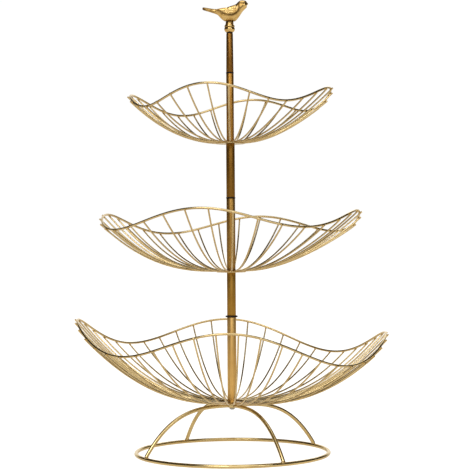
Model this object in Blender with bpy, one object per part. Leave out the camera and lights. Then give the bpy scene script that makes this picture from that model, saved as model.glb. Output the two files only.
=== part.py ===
"""Three-tier wire fruit basket: wavy bowls on a sectional pole, a ring base on four bent legs, a bird finial.

Metres, +Z up. The origin is on the floor at the centre of the base ring, below the pole. +X is to the
right and -Y faces the viewer.
"""

import math

import bmesh
import bpy
from mathutils import Vector

# Clearances and mesh fineness
SEAT_GAP = 0.0003
STUD_CLEARANCE = 0.0003
MERGE_DISTANCE = 0.000001
SHARP_ANGLE_DEG = 35.0
TURNED_SIDE_COUNT = 20
ROD_SIDE_COUNT = 12
BEND_POINT_COUNT = 13
SPOKE_SIDE_COUNT = 5
SPOKE_POINT_COUNT = 7
RIM_SIDE_COUNT = 6
RING_SIDE_COUNT = 8
RING_POINT_COUNT = 60

# Base ring and legs
RING_RADIUS = 0.1152
BASE_WIRE_RADIUS = 0.0023
LEG_COUNT = 4
FIRST_LEG_DEG = 30.0
LEG_CROWN_HEIGHT = 0.0585
LEG_FOOT_OFFSET = 0.0008
LEG_BEND_POWER = 3.2

# Boss that the legs are welded to, and the screw that holds the stand together from below
BOSS_RADIUS = 0.0065
SCREW_HEAD_RADIUS = 0.0034
SCREW_HEAD_HEIGHT = 0.0024
SCREW_HEAD_EDGE = 0.0012
SCREW_REACH = 0.0140
CROSS_ARM_COUNT = 4
CROSS_LENGTH = 0.0040
CROSS_WIDTH = 0.0010
CROSS_DEPTH = 0.0012

# Pole sections, from the lowest to the highest
STUD_RADIUS = 0.0020
STUD_LENGTH = 0.0240
STUD_CHAMFER = 0.0005
SECTION_CHAMFER = 0.0003
SECTION_1_LENGTH = 0.1015
SECTION_2_LENGTH = 0.0515
SECTION_3_LENGTH = 0.0867
SECTION_4_LENGTH = 0.0635
SECTION_5_LENGTH = 0.0827
SECTION_6_LENGTH = 0.0460
SECTION_1_RADIUS = 0.0054
SECTION_2_RADIUS = 0.0053
SECTION_3_RADIUS = 0.0052
SECTION_4_RADIUS = 0.0052
SECTION_5_RADIUS = 0.0045
SECTION_6_RADIUS = 0.0044
SECTION_6_TOP_RADIUS = 0.0040

# Black washers between sections
WASHER_THICKNESS = 0.0015
LOW_WASHER_RADIUS = 0.0074
MIDDLE_WASHER_RADIUS = 0.0056
HIGH_WASHER_RADIUS = 0.0047
FINIAL_WASHER_RADIUS = 0.0038
FINIAL_WASHER_THICKNESS = 0.0010

# Bowl wires
SPOKE_RADIUS = 0.0010
SPOKE_BASE_GAP = 0.00025
SPOKE_OVERHANG = 0.0024
SPOKE_WELD_DEPTH = 0.0005
LEAN_POWER = 0.5
HUB_THICKNESS = 0.0012
WAVE_COUNT = 4
RIM_POINTS_PER_SPOKE_COUNT = 2

BOTTOM_SPOKE_COUNT = 48
BOTTOM_RIM_WIRE_RADIUS = 0.0014
BOTTOM_TIP_RADIUS = 0.1842
BOTTOM_DIP_RADIUS = 0.1806
BOTTOM_TIP_RISE = 0.0908
BOTTOM_DIP_RISE = 0.0575
BOTTOM_RISE_POWER = 2.25
BOTTOM_HUB_LAND = 0.0009
BOTTOM_TURN_DEG = 0.4
BOTTOM_SPOKE_TURN_DEG = 1.3
BOTTOM_SPOKE_CROWD_DEG = -0.7
BOTTOM_LEAN_X_SHARE = -0.0490
BOTTOM_LEAN_Y_SHARE = -0.0085
BOTTOM_BELLY_LEAN_SHARE = -0.0060

MIDDLE_SPOKE_COUNT = 36
MIDDLE_RIM_WIRE_RADIUS = 0.0014
MIDDLE_TIP_RADIUS = 0.1535
MIDDLE_DIP_RADIUS = 0.1550
MIDDLE_TIP_RISE = 0.0700
MIDDLE_DIP_RISE = 0.0485
MIDDLE_RISE_POWER = 2.05
MIDDLE_HUB_LAND = 0.0047
MIDDLE_TURN_DEG = -13.2
MIDDLE_SPOKE_TURN_DEG = -3.3
MIDDLE_SPOKE_CROWD_DEG = 2.5
MIDDLE_LEAN_X_SHARE = 0.0020
MIDDLE_LEAN_Y_SHARE = -0.0170
MIDDLE_BELLY_LEAN_SHARE = 0.0340

TOP_SPOKE_COUNT = 32
TOP_RIM_WIRE_RADIUS = 0.0014
TOP_TIP_RADIUS = 0.1210
TOP_DIP_RADIUS = 0.1145
TOP_TIP_RISE = 0.0608
TOP_DIP_RISE = 0.0407
TOP_RISE_POWER = 1.85
TOP_HUB_LAND = 0.0060
TOP_TURN_DEG = -12.6
TOP_SPOKE_TURN_DEG = 1.5
TOP_SPOKE_CROWD_DEG = 0.7
TOP_LEAN_X_SHARE = 0.0125
TOP_LEAN_Y_SHARE = 0.0079
TOP_BELLY_LEAN_SHARE = 0.0220

# Finial nut and bird
NUT_RADIUS = 0.0064
NUT_HEIGHT = 0.0126
NUT_NECK_RADIUS = 0.0047
NUT_NECK_START_SHARE = 0.84
NUT_BORE_DEPTH = 0.0056
NUT_SOCKET_DEPTH = 0.0030
FINIAL_STUD_REACH = 0.0100
FINIAL_STUD_ENGAGEMENT = 0.0050
PEG_RADIUS = 0.0020
PEG_SOCKET_CLEARANCE = 0.0003
PEG_BELLY_DEPTH = 0.0040
BIRD_LENGTH = 0.0550
BIRD_HEIGHT = 0.0260
BIRD_WIDTH = 0.0144
BIRD_BEAK_REACH = 0.0225
WING_SINK = 0.0006
BIRD_SIDE_COUNT = 14
WING_SIDE_COUNT = 10

# Outline of the nut from its seat up to its neck: shares of its radius and of its height
NUT_OUTLINE_SHARES = (
    (0.66, 0.00),
    (0.84, 0.09),
    (0.97, 0.20),
    (1.00, 0.31),
    (0.97, 0.41),
    (0.92, 0.46),
    (0.96, 0.52),
    (0.94, 0.64),
    (0.81, 0.74),
)

# Bird from tail to beak: share of its length, lowest and highest shares of its height, share of its width
BIRD_SECTION_SHARES = (
    (0.000, 0.545, 0.670, 0.36),
    (0.150, 0.465, 0.615, 0.34),
    (0.305, 0.360, 0.590, 0.42),
    (0.355, 0.285, 0.600, 0.58),
    (0.410, 0.172, 0.615, 0.76),
    (0.475, 0.050, 0.640, 0.90),
    (0.540, 0.008, 0.670, 0.98),
    (0.630, 0.000, 0.740, 1.00),
    (0.705, 0.012, 0.790, 0.97),
    (0.740, 0.060, 0.820, 0.93),
    (0.768, 0.120, 0.895, 0.86),
    (0.818, 0.262, 0.985, 0.76),
    (0.868, 0.425, 1.000, 0.72),
    (0.925, 0.565, 0.975, 0.62),
    (0.965, 0.650, 0.925, 0.38),
    (1.000, 0.785, 0.845, 0.08),
)

# Folded wing from its tip to its shoulder, measured as the bird's sections are, with its own width share
WING_SECTION_SHARES = (
    (0.240, 0.480, 0.540, 0.06),
    (0.330, 0.420, 0.580, 0.16),
    (0.450, 0.330, 0.620, 0.24),
    (0.570, 0.270, 0.660, 0.28),
    (0.670, 0.290, 0.680, 0.26),
    (0.740, 0.400, 0.640, 0.12),
)

GOLD_WIRE = ("gold_wire", (0.78, 0.62, 0.34, 1.0), 0.30, 1.0)
GOLD_BASE = ("gold_base", (0.74, 0.57, 0.29, 1.0), 0.28, 1.0)
GOLD_POLE = ("gold_pole", (0.52, 0.34, 0.14, 1.0), 0.36, 1.0)
GOLD_CAST = ("gold_cast", (0.83, 0.62, 0.26, 1.0), 0.24, 1.0)
BLACK_RUBBER = ("black_rubber", (0.02, 0.02, 0.02, 1.0), 0.70, 0.0)
GREY_STEEL = ("grey_steel", (0.42, 0.42, 0.40, 1.0), 0.35, 1.0)


def clear_scene():
    for obj in list(bpy.data.objects):
        bpy.data.objects.remove(obj, do_unlink=True)


def finish_material(look, name):
    """One Principled material for one piece, in the look's colour, roughness and metallic value."""
    kind, colour, roughness, metallic = look
    material = bpy.data.materials.new(f"{kind}_{name}")
    material.use_nodes = True
    shader = material.node_tree.nodes["Principled BSDF"]
    shader.inputs["Base Color"].default_value = colour
    shader.inputs["Roughness"].default_value = roughness
    shader.inputs["Metallic"].default_value = metallic
    return material


def add_piece(name, bm, look, height=0.0, parent=None):
    """Turns the mesh into a named object whose origin is on the pole's axis at this height."""
    bmesh.ops.recalc_face_normals(bm, faces=bm.faces)
    mesh = bpy.data.meshes.new(name)
    bm.to_mesh(mesh)
    bm.free()
    mesh.shade_smooth()
    mesh.set_sharp_from_angle(angle=math.radians(SHARP_ANGLE_DEG))
    obj = bpy.data.objects.new(name, mesh)
    bpy.context.scene.collection.objects.link(obj)
    obj.data.materials.append(finish_material(look, name))
    if parent is None:
        obj.location.z = height
    else:
        obj.parent = parent
    return obj


def hide_operand(obj):
    obj.hide_render = True
    obj.display_type = "WIRE"


def add_boolean(obj, operand, operation):
    modifier = obj.modifiers.new(operand.name, "BOOLEAN")
    modifier.operation = operation
    modifier.solver = "EXACT"
    modifier.object = operand
    hide_operand(operand)


def turned(outline, side_count, closed=True):
    """A mesh turned about Z from (radius, height) points. An outline from axis to axis isn't closed."""
    bm = bmesh.new()
    corners = [bm.verts.new((radius, 0.0, height)) for radius, height in outline]
    sides = [bm.edges.new(pair) for pair in zip(corners, corners[1:])]
    if closed:
        sides.append(bm.edges.new((corners[-1], corners[0])))
    bmesh.ops.spin(
        bm,
        geom=corners + sides,
        cent=(0.0, 0.0, 0.0),
        axis=(0.0, 0.0, 1.0),
        angle=math.tau,
        steps=side_count,
        use_duplicate=False,
    )
    bmesh.ops.remove_doubles(bm, verts=bm.verts, dist=MERGE_DISTANCE)
    return bm


def sweep(bm, points, sideways, radius, side_count, closed=False, flat_side_down=False):
    """Adds a round tube along the points. sideways holds one vector for each point, square to the path."""
    count = len(points)
    half_step = math.pi / side_count if flat_side_down else 0.0
    rings = []
    for index, point in enumerate(points):
        if closed:
            ahead, behind = points[(index + 1) % count], points[index - 1]
        else:
            ahead, behind = points[min(index + 1, count - 1)], points[max(index - 1, 0)]
        along = (ahead - behind).normalized()
        across = sideways[index]
        upward = across.cross(along).normalized()
        ring = []
        for step in range(side_count):
            angle = math.tau * step / side_count - math.pi / 2 + half_step
            ring.append(bm.verts.new(point + (across * math.cos(angle) + upward * math.sin(angle)) * radius))
        rings.append(ring)
    pairs = list(zip(rings, rings[1:]))
    if closed:
        pairs.append((rings[-1], rings[0]))
    for first, second in pairs:
        for step in range(side_count):
            after = (step + 1) % side_count
            bm.faces.new((first[step], first[after], second[after], second[step]))
    if not closed:
        bm.faces.new(rings[0])
        bm.faces.new(rings[-1])


def in_plane(azimuth, radius, height):
    return Vector((radius * math.cos(azimuth), radius * math.sin(azimuth), height))


def square_to_plane(azimuth):
    return Vector((-math.sin(azimuth), math.cos(azimuth), 0.0))


def ring_centre_height():
    """The ring's section has a flat side down, so that it rests on the floor."""
    return BASE_WIRE_RADIUS * math.cos(math.pi / RING_SIDE_COUNT)


def build_base_ring():
    bm = bmesh.new()
    azimuths = [math.tau * index / RING_POINT_COUNT for index in range(RING_POINT_COUNT)]
    points = [in_plane(azimuth, RING_RADIUS, 0.0) for azimuth in azimuths]
    outward = [in_plane(azimuth, 1.0, 0.0) for azimuth in azimuths]
    sweep(bm, points, outward, BASE_WIRE_RADIUS, RING_SIDE_COUNT, closed=True, flat_side_down=True)
    add_piece("base_ring", bm, GOLD_BASE, ring_centre_height())


def leg_path():
    """(radius, height) points from the boss to the ring's top: flat at first, then ever steeper."""
    foot_radius = RING_RADIUS + LEG_FOOT_OFFSET
    ring_top = 2 * ring_centre_height()
    foot_slope = math.atan(LEG_BEND_POWER * (LEG_CROWN_HEIGHT - ring_top) / foot_radius)
    foot_height = ring_top + SEAT_GAP + BASE_WIRE_RADIUS * math.cos(foot_slope)
    start_radius = BOSS_RADIUS + SEAT_GAP
    path = []
    for index in range(BEND_POINT_COUNT):
        reach = math.sin(math.pi / 2 * index / (BEND_POINT_COUNT - 1))
        radius = start_radius + (foot_radius - start_radius) * reach
        drop = (LEG_CROWN_HEIGHT - foot_height) * reach**LEG_BEND_POWER
        path.append((radius, LEG_CROWN_HEIGHT - drop))
    return path


def build_legs():
    path = leg_path()
    for number in range(LEG_COUNT):
        azimuth = math.radians(FIRST_LEG_DEG) + math.tau * number / LEG_COUNT
        bm = bmesh.new()
        points = [in_plane(azimuth, radius, height) for radius, height in path]
        sweep(bm, points, [square_to_plane(azimuth)] * len(points), BASE_WIRE_RADIUS, RING_SIDE_COUNT)
        add_piece(f"base_leg_{number + 1}", bm, GOLD_BASE)


def tube_outline(low_radius, high_radius, bore_radius, length, chamfer):
    """A hollow section standing on height zero, with its outer edges chamfered."""
    return (
        (bore_radius, 0.0),
        (low_radius - chamfer, 0.0),
        (low_radius, chamfer),
        (high_radius, length - chamfer),
        (high_radius - chamfer, length),
        (bore_radius, length),
    )


def rod_outline(radius, length, chamfer):
    return (
        (0.0, 0.0),
        (radius - chamfer, 0.0),
        (radius, chamfer),
        (radius, length - chamfer),
        (radius - chamfer, length),
        (0.0, length),
    )


def annulus_outline(inner, outer, thickness):
    return ((inner, 0.0), (outer, 0.0), (outer, thickness), (inner, thickness))


def boss_bottom():
    return LEG_CROWN_HEIGHT - BASE_WIRE_RADIUS


def boss_top():
    return LEG_CROWN_HEIGHT + BASE_WIRE_RADIUS


def bore_radius():
    return STUD_RADIUS + STUD_CLEARANCE


def build_boss():
    outline = annulus_outline(bore_radius(), BOSS_RADIUS, boss_top() - boss_bottom())
    add_piece("base_boss", turned(outline, TURNED_SIDE_COUNT), GOLD_BASE, boss_bottom())


def build_base_screw():
    """A domed head under the boss, its shank up through boss and lowest hub into the first section."""
    shank_top = boss_top() + SEAT_GAP + HUB_THICKNESS + SEAT_GAP + SCREW_REACH
    head_top = boss_bottom() - SEAT_GAP
    shank = shank_top - head_top
    outline = (
        (0.0, -SCREW_HEAD_HEIGHT),
        (SCREW_HEAD_RADIUS / 2, -SCREW_HEAD_HEIGHT),
        (SCREW_HEAD_RADIUS, -SCREW_HEAD_EDGE),
        (SCREW_HEAD_RADIUS, 0.0),
        (STUD_RADIUS, 0.0),
        (STUD_RADIUS, shank - STUD_CHAMFER),
        (STUD_RADIUS - STUD_CHAMFER, shank),
        (0.0, shank),
    )
    screw = add_piece("base_screw", turned(outline, ROD_SIDE_COUNT, closed=False), GREY_STEEL, head_top)
    bm = bmesh.new()
    reach, half = CROSS_LENGTH / 2, CROSS_WIDTH / 2
    arm = ((reach, -half), (reach, half), (half, half))
    corners = []
    for number in range(CROSS_ARM_COUNT):
        turn = math.tau * number / CROSS_ARM_COUNT
        cosine, sine = math.cos(turn), math.sin(turn)
        for x, y in arm:
            corners.append((x * cosine - y * sine, x * sine + y * cosine))
    low = -SCREW_HEAD_HEIGHT - CROSS_DEPTH
    face = bm.faces.new([bm.verts.new((x, y, low)) for x, y in corners])
    grown = bmesh.ops.extrude_face_region(bm, geom=[face])
    rise = Vector((0.0, 0.0, 2 * CROSS_DEPTH))
    bmesh.ops.translate(bm, verts=[v for v in grown["geom"] if isinstance(v, bmesh.types.BMVert)], vec=rise)
    cutter = add_piece("screw_cross_cutter", bm, GREY_STEEL, head_top)
    add_boolean(screw, cutter, "DIFFERENCE")


class Tier:
    """The wires of one bowl, worked out from its own sizes."""

    def __init__(self, name, spoke_count, rim_wire, tip, dip, rise_power, hub_land, turns, leans):
        self.name = name
        self.spoke_count = spoke_count
        self.rim_wire = rim_wire
        self.tip_radius, self.tip_rise = tip
        self.dip_radius, self.dip_rise = dip
        self.turn, self.spoke_turn, self.crowding = (math.radians(turn) for turn in turns)
        self.lean_x, self.lean_y, self.belly_lean = leans
        self.rise_power = rise_power
        self.inner_radius = spoke_count * (2 * SPOKE_RADIUS + SPOKE_BASE_GAP) / math.tau
        self.hub_radius = self.inner_radius + hub_land

    def rim_point(self, azimuth):
        """(radius, rise) of the rim's centre: a tip at the first azimuth, then a dip, four times round."""
        wave = (1.0 + math.cos(WAVE_COUNT * (azimuth - self.turn))) / 2
        radius = self.dip_radius + (self.tip_radius - self.dip_radius) * wave
        rise = self.dip_rise + (self.tip_rise - self.dip_rise) * wave
        return radius, rise

    def slope(self, azimuth):
        radius, rise = self.rim_point(azimuth)
        return math.atan(self.rise_power * rise / (radius - self.hub_radius))

    def spoke_end(self, azimuth):
        """(radius, rise) of the spoke's centre where it passes outside the rim, clear by the seat gap."""
        radius, rise = self.rim_point(azimuth)
        slope = self.slope(azimuth)
        apart = SPOKE_RADIUS + self.rim_wire + SEAT_GAP
        return radius + apart * math.sin(slope), rise - apart * math.cos(slope)

    def spoke_path(self, azimuth):
        """(radius, rise) points: flat on the hub disc, then rising on a power curve to just past the rim."""
        end_radius, end_rise = self.spoke_end(azimuth)
        reach = end_radius + SPOKE_OVERHANG * math.cos(self.slope(azimuth)) - self.hub_radius
        path = [(self.inner_radius, 0.0)]
        for index in range(SPOKE_POINT_COUNT):
            radius = self.hub_radius + reach * index / (SPOKE_POINT_COUNT - 1)
            share = (radius - self.hub_radius) / (end_radius - self.hub_radius)
            path.append((radius, end_rise * share**self.rise_power))
        return path

    def leaning(self, point):
        """Past the hub disc the wires bend a little off level, as a whole and again half way to the rim."""
        beyond = max(math.hypot(point.x, point.y) - self.hub_radius, 0.0)
        share = min(beyond / (self.tip_radius - self.hub_radius), 1.0)
        whole = (self.lean_x * point.x + self.lean_y * point.y) * share**LEAN_POWER
        belly = self.belly_lean * point.x * math.sin(math.pi * share)
        return point + Vector((0.0, 0.0, whole + belly))

    def spoke_azimuths(self):
        """Even steps round the pole, then crowded a little towards one side, as hand welding leaves them."""
        first = self.turn + self.spoke_turn
        even = [first + math.tau * index / self.spoke_count for index in range(self.spoke_count)]
        return [azimuth + self.crowding * math.sin(azimuth) for azimuth in even]


def build_rim(tier, parent):
    count = RIM_POINTS_PER_SPOKE_COUNT * tier.spoke_count
    first = tier.spoke_azimuths()[0]
    azimuths = [first + math.tau * index / count for index in range(count)]
    points = [tier.leaning(in_plane(azimuth, *tier.rim_point(azimuth))) for azimuth in azimuths]
    sideways = []
    for index, azimuth in enumerate(azimuths):
        along = points[(index + 1) % count] - points[index - 1]
        slope = tier.slope(azimuth)
        inward = in_plane(azimuth, -math.sin(slope), math.cos(slope))
        sideways.append((inward - inward.project(along)).normalized())
    bm = bmesh.new()
    sweep(bm, points, sideways, tier.rim_wire, RIM_SIDE_COUNT, closed=True)
    add_piece(f"{tier.name}_rim", bm, GOLD_WIRE, parent=parent)


def build_spokes(tier, parent):
    """The hub disc with every spoke welded to its top."""
    disc_top = -SPOKE_RADIUS + SPOKE_WELD_DEPTH
    outline = annulus_outline(bore_radius(), tier.hub_radius, HUB_THICKNESS)
    bm = turned(outline, tier.spoke_count)
    bmesh.ops.translate(bm, verts=bm.verts, vec=(0.0, 0.0, disc_top - HUB_THICKNESS))
    spokes = add_piece(f"{tier.name}_spokes", bm, GOLD_WIRE, parent=parent)
    bm = bmesh.new()
    for azimuth in tier.spoke_azimuths():
        points = [tier.leaning(in_plane(azimuth, radius, rise)) for radius, rise in tier.spoke_path(azimuth)]
        sweep(bm, points, [square_to_plane(azimuth)] * len(points), SPOKE_RADIUS, SPOKE_SIDE_COUNT)
    wires = add_piece(f"{tier.name}_spoke_wires", bm, GOLD_WIRE, parent=parent)
    add_boolean(spokes, wires, "UNION")


def build_bowl(tier, hub_bottom):
    """An empty on the pole's axis at the height of the spokes' centres carries the rim and the spokes."""
    turn = bpy.data.objects.new(f"{tier.name}_bowl_turn", None)
    turn.location.z = hub_bottom + HUB_THICKNESS + SPOKE_RADIUS - SPOKE_WELD_DEPTH
    bpy.context.scene.collection.objects.link(turn)
    build_rim(tier, turn)
    build_spokes(tier, turn)


def build_section(number, low_radius, high_radius, length, bottom):
    outline = tube_outline(low_radius, high_radius, bore_radius(), length, SECTION_CHAMFER)
    add_piece(f"pole_section_{number}", turned(outline, TURNED_SIDE_COUNT), GOLD_POLE, bottom)
    return bottom + length + SEAT_GAP


def build_stud(number, middle):
    """A threaded stud, plain here, that joins the section below to the one above."""
    outline = rod_outline(STUD_RADIUS, STUD_LENGTH, STUD_CHAMFER)
    piece = turned(outline, ROD_SIDE_COUNT, closed=False)
    add_piece(f"pole_stud_{number}", piece, GREY_STEEL, middle - STUD_LENGTH / 2)


def build_washer(name, radius, thickness, bottom):
    outline = annulus_outline(bore_radius(), radius, thickness)
    add_piece(name, turned(outline, TURNED_SIDE_COUNT), BLACK_RUBBER, bottom)
    return bottom + thickness + SEAT_GAP


def build_nut(bottom):
    """The finial's ball nut: a bore below for the stud and a socket above for the bird's peg."""
    socket_radius = PEG_RADIUS + PEG_SOCKET_CLEARANCE
    outer = [(NUT_RADIUS * wide, NUT_HEIGHT * high) for wide, high in NUT_OUTLINE_SHARES]
    outline = [
        (0.0, NUT_BORE_DEPTH),
        (bore_radius(), NUT_BORE_DEPTH),
        (bore_radius(), 0.0),
        *outer,
        (NUT_NECK_RADIUS, NUT_HEIGHT * NUT_NECK_START_SHARE),
        (NUT_NECK_RADIUS, NUT_HEIGHT),
        (socket_radius, NUT_HEIGHT),
        (socket_radius, NUT_HEIGHT - NUT_SOCKET_DEPTH),
        (0.0, NUT_HEIGHT - NUT_SOCKET_DEPTH),
    ]
    add_piece("finial_nut", turned(outline, TURNED_SIDE_COUNT, closed=False), GOLD_CAST, bottom)
    return bottom + NUT_HEIGHT


def build_finial_stud(nut_bottom):
    length = FINIAL_STUD_REACH + FINIAL_STUD_ENGAGEMENT
    outline = rod_outline(STUD_RADIUS, length, STUD_CHAMFER)
    piece = turned(outline, ROD_SIDE_COUNT, closed=False)
    add_piece("finial_stud", piece, GREY_STEEL, nut_bottom - FINIAL_STUD_REACH)


def lofted(section_shares, width, side_count, middle=0.0):
    """A closed skin through upright oval sections along X, given as shares of the bird's size."""
    bm = bmesh.new()
    rings = []
    for along, low, high, wide in section_shares:
        x = BIRD_BEAK_REACH - BIRD_LENGTH * (1.0 - along)
        centre, half = BIRD_HEIGHT * (low + high) / 2, BIRD_HEIGHT * (high - low) / 2
        ring = []
        for step in range(side_count):
            angle = math.tau * step / side_count
            y = middle + width * wide / 2 * math.sin(angle)
            ring.append(bm.verts.new((x, y, centre + half * math.cos(angle))))
        rings.append(ring)
    for first, second in zip(rings, rings[1:]):
        for step in range(side_count):
            after = (step + 1) % side_count
            bm.faces.new((first[step], first[after], second[after], second[step]))
    bm.faces.new(rings[0])
    bm.faces.new(rings[-1])
    return bm


def build_bird(nut_top):
    """A small garden bird, tail to the left and beak to the right, with a peg below that sits in the nut."""
    belly = nut_top + SEAT_GAP
    body = lofted(BIRD_SECTION_SHARES, BIRD_WIDTH, BIRD_SIDE_COUNT)
    bird = add_piece("finial_bird", body, GOLD_CAST, belly)
    peg_depth = NUT_SOCKET_DEPTH
    outline = rod_outline(PEG_RADIUS, peg_depth + PEG_BELLY_DEPTH, STUD_CHAMFER)
    peg = add_piece("bird_peg", turned(outline, ROD_SIDE_COUNT, closed=False), GOLD_CAST, belly - peg_depth)
    add_boolean(bird, peg, "UNION")
    for side, name in ((-1, "bird_wing_front"), (1, "bird_wing_back")):
        middle = side * (BIRD_WIDTH / 2 - WING_SINK)
        loft = lofted(WING_SECTION_SHARES, BIRD_WIDTH, WING_SIDE_COUNT, middle)
        wing = add_piece(name, loft, GOLD_CAST, belly)
        add_boolean(bird, wing, "UNION")


def tiers():
    bottom = Tier(
        "bottom",
        BOTTOM_SPOKE_COUNT,
        BOTTOM_RIM_WIRE_RADIUS,
        (BOTTOM_TIP_RADIUS, BOTTOM_TIP_RISE),
        (BOTTOM_DIP_RADIUS, BOTTOM_DIP_RISE),
        BOTTOM_RISE_POWER,
        BOTTOM_HUB_LAND,
        (BOTTOM_TURN_DEG, BOTTOM_SPOKE_TURN_DEG, BOTTOM_SPOKE_CROWD_DEG),
        (BOTTOM_LEAN_X_SHARE, BOTTOM_LEAN_Y_SHARE, BOTTOM_BELLY_LEAN_SHARE),
    )
    middle = Tier(
        "middle",
        MIDDLE_SPOKE_COUNT,
        MIDDLE_RIM_WIRE_RADIUS,
        (MIDDLE_TIP_RADIUS, MIDDLE_TIP_RISE),
        (MIDDLE_DIP_RADIUS, MIDDLE_DIP_RISE),
        MIDDLE_RISE_POWER,
        MIDDLE_HUB_LAND,
        (MIDDLE_TURN_DEG, MIDDLE_SPOKE_TURN_DEG, MIDDLE_SPOKE_CROWD_DEG),
        (MIDDLE_LEAN_X_SHARE, MIDDLE_LEAN_Y_SHARE, MIDDLE_BELLY_LEAN_SHARE),
    )
    top = Tier(
        "top",
        TOP_SPOKE_COUNT,
        TOP_RIM_WIRE_RADIUS,
        (TOP_TIP_RADIUS, TOP_TIP_RISE),
        (TOP_DIP_RADIUS, TOP_DIP_RISE),
        TOP_RISE_POWER,
        TOP_HUB_LAND,
        (TOP_TURN_DEG, TOP_SPOKE_TURN_DEG, TOP_SPOKE_CROWD_DEG),
        (TOP_LEAN_X_SHARE, TOP_LEAN_Y_SHARE, TOP_BELLY_LEAN_SHARE),
    )
    return bottom, middle, top


def build_hub_and_section(tier, stud_number, section_number, radius, length, hub_bottom):
    """A bowl, the section on its hub and, but for the first, the stud through it. Returns the next seat."""
    build_bowl(tier, hub_bottom)
    if stud_number:
        build_stud(stud_number, hub_bottom + HUB_THICKNESS / 2)
    seat = hub_bottom + HUB_THICKNESS + SEAT_GAP
    return build_section(section_number, radius, radius, length, seat)


def build_washer_and_section(washer, stud_number, section_number, radii, length, bottom):
    """A black washer and the pole section on it, with the stud that joins them. Returns the next seat."""
    name, washer_radius = washer
    build_stud(stud_number, bottom + WASHER_THICKNESS / 2)
    seat = build_washer(name, washer_radius, WASHER_THICKNESS, bottom)
    return build_section(section_number, *radii, length, seat)


def build_stack():
    """Everything on the pole, from the lowest hub up."""
    bottom, middle, top = tiers()
    low = ("washer_low", LOW_WASHER_RADIUS)
    halfway = ("washer_middle", MIDDLE_WASHER_RADIUS)
    high = ("washer_high", HIGH_WASHER_RADIUS)
    radii_2 = (SECTION_2_RADIUS, SECTION_2_RADIUS)
    radii_4 = (SECTION_4_RADIUS, SECTION_4_RADIUS)
    radii_6 = (SECTION_6_RADIUS, SECTION_6_TOP_RADIUS)
    seat = boss_top() + SEAT_GAP
    seat = build_hub_and_section(bottom, 0, 1, SECTION_1_RADIUS, SECTION_1_LENGTH, seat)
    seat = build_washer_and_section(low, 1, 2, radii_2, SECTION_2_LENGTH, seat)
    seat = build_hub_and_section(middle, 2, 3, SECTION_3_RADIUS, SECTION_3_LENGTH, seat)
    seat = build_washer_and_section(halfway, 3, 4, radii_4, SECTION_4_LENGTH, seat)
    seat = build_hub_and_section(top, 4, 5, SECTION_5_RADIUS, SECTION_5_LENGTH, seat)
    seat = build_washer_and_section(high, 5, 6, radii_6, SECTION_6_LENGTH, seat)
    seat = build_washer("washer_finial", FINIAL_WASHER_RADIUS, FINIAL_WASHER_THICKNESS, seat)
    build_finial_stud(seat)
    nut_top = build_nut(seat)
    build_bird(nut_top)


def main():
    clear_scene()
    build_base_ring()
    build_legs()
    build_boss()
    build_base_screw()
    build_stack()


main()
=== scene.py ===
import math

import bpy
from mathutils import Matrix, Vector


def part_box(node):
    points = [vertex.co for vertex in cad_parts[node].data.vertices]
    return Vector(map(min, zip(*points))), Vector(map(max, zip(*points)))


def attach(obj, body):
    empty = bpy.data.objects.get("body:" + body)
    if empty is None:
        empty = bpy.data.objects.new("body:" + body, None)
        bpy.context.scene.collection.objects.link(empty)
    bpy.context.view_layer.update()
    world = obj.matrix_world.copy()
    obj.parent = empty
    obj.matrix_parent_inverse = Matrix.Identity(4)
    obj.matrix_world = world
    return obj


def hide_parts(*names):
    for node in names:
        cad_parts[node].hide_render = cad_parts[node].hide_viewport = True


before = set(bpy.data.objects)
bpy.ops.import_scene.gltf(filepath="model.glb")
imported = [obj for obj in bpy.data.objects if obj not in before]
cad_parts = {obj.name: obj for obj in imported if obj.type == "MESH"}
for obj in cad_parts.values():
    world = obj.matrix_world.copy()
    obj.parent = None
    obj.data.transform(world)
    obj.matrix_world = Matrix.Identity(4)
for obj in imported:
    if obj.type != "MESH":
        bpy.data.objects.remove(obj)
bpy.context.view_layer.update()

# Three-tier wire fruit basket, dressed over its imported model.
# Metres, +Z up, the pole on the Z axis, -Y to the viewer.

# Bowls: wires, hub discs and weld beads (length, width, height)
SPOKE_RADIUS = 0.0010
SPOKE_BASE_GAP = 0.00025
SPOKE_OVERHANG = 0.0024
SPOKE_POINT_POWER = 0.9
SPOKE_WELD_DEPTH = 0.0005
RIM_WELD_DEPTH = 0.0002
RIM_WIRE_RADIUS = 0.0014
LEAN_POWER = 0.5
WAVE_COUNT = 4
HUB_THICKNESS = 0.0012
HUB_ROUNDING = 0.0003
RIM_BEAD = (0.0030, 0.0026, 0.0011)
HUB_BEAD = (0.0034, 0.0026, 0.0010)
HUB_BEAD_STEP = 0.00002

# Base
RING_RADIUS = 0.1152
RING_WIRE_RADIUS = 0.0023
LEG_COUNT = 4
LEG_WIRE_RADIUS = 0.0023
FIRST_LEG_DEG = 30.0
LEG_CROWN_HEIGHT = 0.0585
LEG_BEND_POWER = 3.2
LEG_START_RADIUS = 0.0045
LEG_FOOT_RADIUS = RING_RADIUS + 0.0003
LEG_FOOT_HEIGHT = 2 * RING_WIRE_RADIUS + 0.0006
FOOT_BEAD = (0.0066, 0.0052, 0.0040)
FOOT_BEAD_HEIGHT = 2 * RING_WIRE_RADIUS - 0.0001
SHOULDER_BEAD = (0.0040, 0.0058, 0.0048)
SHOULDER_BEAD_RADIUS = 0.0066
BOSS_ROUNDING = 0.0004

# Screw: a dome, its edge and its cross recess
SCREW_HEAD_RADIUS = 0.0034
SCREW_HEAD_HEIGHT = 0.0024
SCREW_DOME_HEIGHT = 0.0019
SCREW_SIDE_HEIGHT = 0.0009
SCREW_EDGE = 0.0002
SCREW_SHANK_RADIUS = 0.0020
RECESS_SIZE = (0.0042, 0.0010, 0.0026)

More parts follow.
